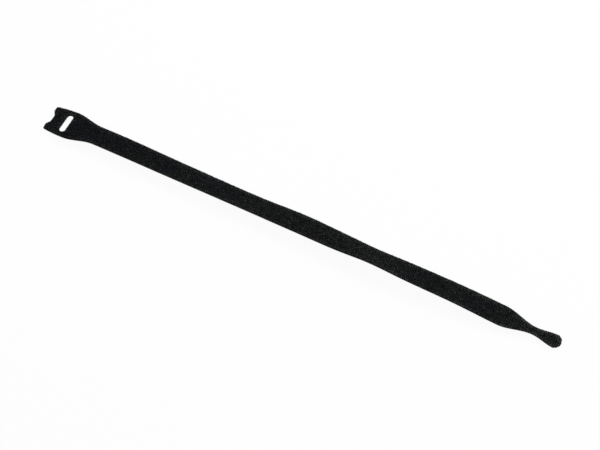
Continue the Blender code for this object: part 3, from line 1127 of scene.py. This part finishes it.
def pile_relief(points, depth, sizes):
    """Height of the knitted ground above or below its mean, lower towards the cut."""
    along = points[:, 0] + points[:, 1] * tan(sizes.row_slant)
    drift = 0.1 * noise_over(points, 3 * MM, 2 * MM, 7)
    wave = np.cos(2 * pi * (along / sizes.row_pitch + drift))
    wave *= np.interp(points[:, 0], [sizes.row_fade_start, sizes.row_fade_end],
                      [sizes.worn_rows, 1])
    lumps = noise_over(points, sizes.lump_size, sizes.lump_size, 1)
    fading = np.clip(depth / (2 * sizes.edge_round), 0, 1)
    shoulder = np.clip(1 - depth / sizes.edge_round, 0, 1)
    drop = sizes.edge_round * (1 - np.sqrt(1 - shoulder ** 2))
    return fading * (0.5 * sizes.row_relief * wave + sizes.lump_relief * lumps) - drop


def splay_of(lines, sizes):
    """How far the tape swells out at each point of the cut, most at the slot."""
    outline, slot = (outward_of(line) for line in lines)
    return np.concatenate([outline * sizes.splay, slot * SLOT_SPLAY * sizes.splay])


def pile_ground(sizes):
    """Points of the pile side, the cut's first, their depth from the cut, and triangles."""
    lines = blank_lines(sizes)
    splay = splay_of(lines, sizes)
    points, faces = face_between(lines, PILE_STEP, SHOULDER_RINGS)
    depth = distance_to_cut(points, lines)
    depth[:len(splay)] = 0
    lift = sizes.ground_height + pile_relief(points, depth, sizes)
    points[:len(splay)] += GROUND_SPLAY * splay
    return np.column_stack([points, lift]), depth, faces


def tape_mesh(sizes):
    """Closed mesh of the tape: pile ground, cut side, film."""
    lines = blank_lines(sizes)
    splay = splay_of(lines, sizes)
    top_points, depth, top_faces = pile_ground(sizes)
    low_points, low_faces = face_between(lines, FILM_STEP)
    levels = ((sizes.ground_height - 1.7 * sizes.edge_round, 1.0),
              (sizes.film_top + 0.35 * MM, 0.9),
              (sizes.film_top + 0.08 * MM, 0.75),
              (sizes.film_top, 0.3),
              (sizes.film_top - 0.05 * MM, 0.8))
    border = np.concatenate(lines)
    points = [top_points]
    for level, share in levels:
        wander = noise_over(border, CUT_LUMP, CUT_LUMP, level / MM)
        swelling = (share + CUT_WANDER * wander)[:, None]
        points.append(at_height(border + splay * swelling, level))
    low_points[:len(splay)] += FILM_SPLAY * splay
    points.append(at_height(low_points, sizes.film_bottom))
    starts = np.cumsum([0] + [len(part) for part in points[:-1]])
    faces = [top_faces.tolist()]
    finishes = [0] * len(top_faces)
    for band, (upper, lower) in enumerate(zip(starts, starts[1:])):
        first = 0
        for line in lines:
            here = np.arange(first, first + len(line))
            there = np.roll(here, -1)
            wall = np.stack([upper + here, upper + there, lower + there, lower + here], axis=1)
            faces.append(wall.tolist())
            finishes += [1 if band < CLOTH_BANDS else 2] * len(wall)
            first += len(line)
    faces.append((low_faces[:, ::-1] + starts[-1]).tolist())
    finishes += [2] * len(low_faces)
    mesh = mesh_of("strap_tape", np.concatenate(points), sum(faces, []))
    keep_values(mesh, "edge_depth", np.pad(depth, (0, len(mesh.vertices) - len(depth))))
    mesh.polygons.foreach_set("material_index", finishes)
    mesh.shade_smooth()
    mesh.set_sharp_from_angle(angle=SHARP_EDGE)
    return mesh


def pile_part(sizes, start, end):
    """Part of the pile ground that carries loops, between two places along the strap."""
    points, depth, triangles = pile_ground(sizes)
    centre = points[triangles, 0].mean(axis=1)
    used, numbers = np.unique(triangles[(centre >= start) & (centre < end)],
                              return_inverse=True)
    mesh = mesh_of("pile_part", points[used], numbers.reshape(-1, 3))
    keep_values(mesh, "edge_depth", depth[used])
    return mesh


def hook_mesh(sizes, hooks):
    """One moulded hook that hangs from the film and bends over along its row."""
    profile = [(-0.40, 0), (-0.20, -0.66), (0.06, -0.99), (0.42, -0.97),
               (0.60, -0.66), (0.24, -0.74), (0.09, -0.48), (0.30, 0)]
    count = len(profile)
    points = [(x * hooks.hook_reach, side * hooks.hook_thickness / 2, z * sizes.film_bottom)
              for side in (-1, 1) for x, z in profile]
    walls = [(index + count, (index + 1) % count + count, (index + 1) % count, index)
             for index in range(count)]
    caps = [(0, 7, 6, 1), (1, 6, 5, 2), (2, 5, 4, 3)]
    far_caps = [tuple(corner + count for corner in reversed(cap)) for cap in caps]
    return mesh_of("one_hook", points, walls + far_caps + caps)


class TIE_OT_tape(bpy.types.Operator):
    """Make the tape: knitted pile ground, die-cut side and hook film"""
    bl_idname = "cable_tie.make_tape"
    bl_label = "Tape"

    def execute(self, context):
        tape = add_object("strap_tape", tape_mesh(context.scene.strap_sizes))
        for make in (knitted_ground, cut_side, moulded_nylon):
            tape.data.materials.append(finish_of(make))
        finish_piece(tape)
        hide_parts(CAD_NODE)
        return {"FINISHED"}


class TIE_OT_loops(bpy.types.Operator):
    """Make the pile: small yarn loops all over the upper side"""
    bl_idname = "cable_tie.make_loops"
    bl_label = "Pile loops"

    def execute(self, context):
        sizes = context.scene.strap_sizes
        pile = context.scene.pile_sizes
        tree = pile_tree()
        for step, (part, start, end) in enumerate(PILE_PARTS):
            base = pile_part(sizes, start * sizes.strap_length, end * sizes.strap_length)
            loops = grow("pile_loops_" + part, base, tree, {
                "Loops per Area": pile.loops_per_mm2 / MM ** 2,
                "Loop Width": pile.loop_width, "Loop Height": pile.loop_height,
                "Fibre Radius": pile.fibre_radius, "Lean": pile.lean, "Curl": pile.curl,
                "Row Pitch": sizes.row_pitch, "Row Slant": tan(sizes.row_slant),
                "Row Contrast": pile.row_contrast, "Fade Start": sizes.row_fade_start,
                "Fade End": sizes.row_fade_end, "Worn Share": sizes.worn_rows,
                "Tuft Size": pile.tuft_size, "Tuft Contrast": pile.tuft_contrast,
                "Rim Width": 0.7 * sizes.rim_width, "Rim Density": pile.rim_density,
                "Rim Scale": pile.rim_scale, "Seed": pile.seed + step,
                "Material": finish_of(dyed_loops)})
            loops.data.shade_smooth()
            finish_piece(loops)
        return {"FINISHED"}


class TIE_OT_fibres(bpy.types.Operator):
    """Make the fibres that the die and the torn perforation leave along the cut"""
    bl_idname = "cable_tie.make_fibres"
    bl_label = "Cut fibres"

    def execute(self, context):
        sizes = context.scene.strap_sizes
        pile = context.scene.pile_sizes
        lines = blank_lines(sizes)
        border = np.concatenate(lines)
        outward = np.concatenate([outward_of(line) for line in lines])
        lift = np.random.default_rng(pile.seed).uniform(
            sizes.film_top + 0.1 * MM, sizes.ground_height - 0.15 * MM, len(border))
        roots = mesh_of("fibre_roots", np.column_stack([border, lift]), [])
        keep_values(roots, "heading", np.arctan2(outward[:, 1], outward[:, 0]))
        finish_piece(grow("cut_fibres", roots, fibre_tree(), {
            "Fibre Length": pile.hair_length, "Fibre Radius": pile.hair_radius,
            "Seed": pile.seed, "Material": finish_of(dyed_loops)}))
        return {"FINISHED"}


class TIE_OT_hooks(bpy.types.Operator):
    """Make the rows of small moulded hooks under the film"""
    bl_idname = "cable_tie.make_hooks"
    bl_label = "Moulded hooks"

    def execute(self, context):
        sizes = context.scene.strap_sizes
        hooks = context.scene.hook_sizes
        lines = [line - outward_of(line) * hooks.edge_margin for line in blank_lines(sizes)]
        points, triangles = face_between(lines, FILM_STEP)
        face = mesh_of("hook_face", at_height(points, sizes.film_bottom), triangles)
        model = add_object("one_hook", hook_mesh(sizes, hooks))
        grown = grow("moulded_hooks", face, hook_tree(), {
            "Hook": model, "Strap Length": sizes.strap_length,
            "Strap Width": sizes.head_max_width, "Hook Pitch": hooks.hook_pitch,
            "Row Pitch": hooks.row_pitch, "Seed": hooks.seed,
            "Material": finish_of(moulded_nylon)})
        bpy.data.objects.remove(model, do_unlink=True)
        finish_piece(grown)
        return {"FINISHED"}


# Stage

def add_camera(right, up):
    """Camera at the photograph's angle."""
    back = right.cross(up)
    data = bpy.data.cameras.new("camera")
    data.lens = CAMERA_LENS_MM
    data.sensor_width = CAMERA_SENSOR_MM
    data.clip_start = 0.1
    data.clip_end = 50.0
    camera = add_object("camera", data)
    place = Vector(CAMERA_AIM) + back * CAMERA_DISTANCE + right * CAMERA_RIGHT + up * CAMERA_UP
    turn = Matrix((right, up, back)).transposed()
    camera.matrix_world = Matrix.Translation(place) @ turn.to_4x4()
    bpy.context.scene.camera = camera


def add_lamp(name, place, size, power):
    """Soft square lamp that points at the strap's middle."""
    data = bpy.data.lights.new(name, "AREA")
    data.size = size
    data.energy = power
    lamp = add_object(name, data)
    lamp.location = place
    lamp.rotation_euler = Vector(place).to_track_quat("Z", "Y").to_euler()


def seen_directly(tree):
    """1 for rays from the camera and through gloss or clear material, else 0."""
    path = add_node(tree, "ShaderNodeLightPath").outputs
    seen = calculate(tree, "MAXIMUM", path["Is Camera Ray"], path["Is Glossy Ray"])
    return calculate(tree, "MAXIMUM", seen, path["Is Transmission Ray"])


def either(tree, share, first, second):
    """Shader that is the first at 0 and the second at 1."""
    return output_of(tree, "ShaderNodeMixShader", {0: share, 1: first, 2: second})


def floor_finish():
    """Plain pale floor that shows white and keeps a soft shadow; clear from below."""
    material = bpy.data.materials.new("floor")
    material.use_nodes = True
    tree = material.node_tree
    tree.nodes.clear()
    pale = output_of(tree, "ShaderNodeBsdfDiffuse", {
        "Color": shaded(bpy.context.scene.tie_finish.floor_colour)})
    white = output_of(tree, "ShaderNodeEmission", {"Color": WHITE, "Strength": 1.0})
    lift = product(tree, seen_directly(tree), FLOOR_LIFT)
    side = add_node(tree, "ShaderNodeNewGeometry").outputs["Backfacing"]
    clear = output_of(tree, "ShaderNodeBsdfTransparent")
    add_node(tree, "ShaderNodeOutputMaterial", {
        "Surface": either(tree, side, either(tree, lift, pale, white), clear)})
    return material


def set_world():
    """Even pale light from all round, white where it is seen directly."""
    world = bpy.data.worlds.new("world")
    world.use_nodes = True
    bpy.context.scene.world = world
    tree = world.node_tree
    tree.nodes.clear()
    light, white = (
        output_of(tree, "ShaderNodeBackground", {"Color": WHITE, "Strength": strength})
        for strength in (WORLD_LIGHT, 1.0))
    add_node(tree, "ShaderNodeOutputWorld", {
        "Surface": either(tree, seen_directly(tree), light, white)})


class TIE_OT_stage(bpy.types.Operator):
    """Make the floor, the soft lamps and the camera"""
    bl_idname = "cable_tie.make_stage"
    bl_label = "Stage"

    def execute(self, context):
        corners = [(x * FLOOR_HALF, y * FLOOR_HALF, 0) for x, y in ((-1, -1), (1, -1), (1, 1),
                                                                    (-1, 1))]
        floor = add_object("floor", mesh_of("floor", corners, [(0, 1, 2, 3)]))
        floor.data.materials.append(floor_finish())
        right = Vector((cos(CAMERA_AZIMUTH), sin(CAMERA_AZIMUTH), 0))
        away = Vector((-right.y, right.x, 0))
        overhead = Vector((0, 0, 1))
        for name, (sideways, behind, above), size, power in LAMPS:
            place = right * sideways + away * behind + overhead * above
            add_lamp(name, place, size, power)
        set_world()
        context.scene.view_settings.view_transform = "Standard"
        add_camera(right, away * sin(CAMERA_ELEVATION) + overhead * cos(CAMERA_ELEVATION))
        return {"FINISHED"}


class VIEW3D_PT_cable_tie(bpy.types.Panel):
    """Sizes, finishes and steps of the cable tie"""
    bl_label = "Cable Tie"
    bl_space_type = "VIEW_3D"
    bl_region_type = "UI"
    bl_category = "Cable Tie"

    def draw(self, context):
        for operator in OPERATORS:
            self.layout.operator(operator.bl_idname)
        for group in SETTINGS:
            settings = getattr(context.scene, group)
            box = self.layout.box()
            for name in settings.bl_rna.properties.keys():
                if name not in ("rna_type", "name"):
                    box.prop(settings, name)


OPERATORS = (TIE_OT_stage, TIE_OT_tape, TIE_OT_loops, TIE_OT_fibres, TIE_OT_hooks)
SETTINGS = {
    "strap_sizes": StrapSizes,
    "pile_sizes": PileSizes,
    "hook_sizes": HookSizes,
    "tie_finish": Finish,
}
CLASSES = (*SETTINGS.values(), *OPERATORS, VIEW3D_PT_cable_tie)


def register():
    for item in CLASSES:
        bpy.utils.register_class(item)
    for name, group in SETTINGS.items():
        setattr(bpy.types.Scene, name, PointerProperty(type=group))


def unregister():
    for name in SETTINGS:
        delattr(bpy.types.Scene, name)
    for item in reversed(CLASSES):
        bpy.utils.unregister_class(item)


def main():
    register()
    bpy.ops.cable_tie.make_stage()
    bpy.ops.cable_tie.make_tape()
    bpy.ops.cable_tie.make_loops()
    bpy.ops.cable_tie.make_fibres()
    bpy.ops.cable_tie.make_hooks()


if __name__ == "__main__":
    main()
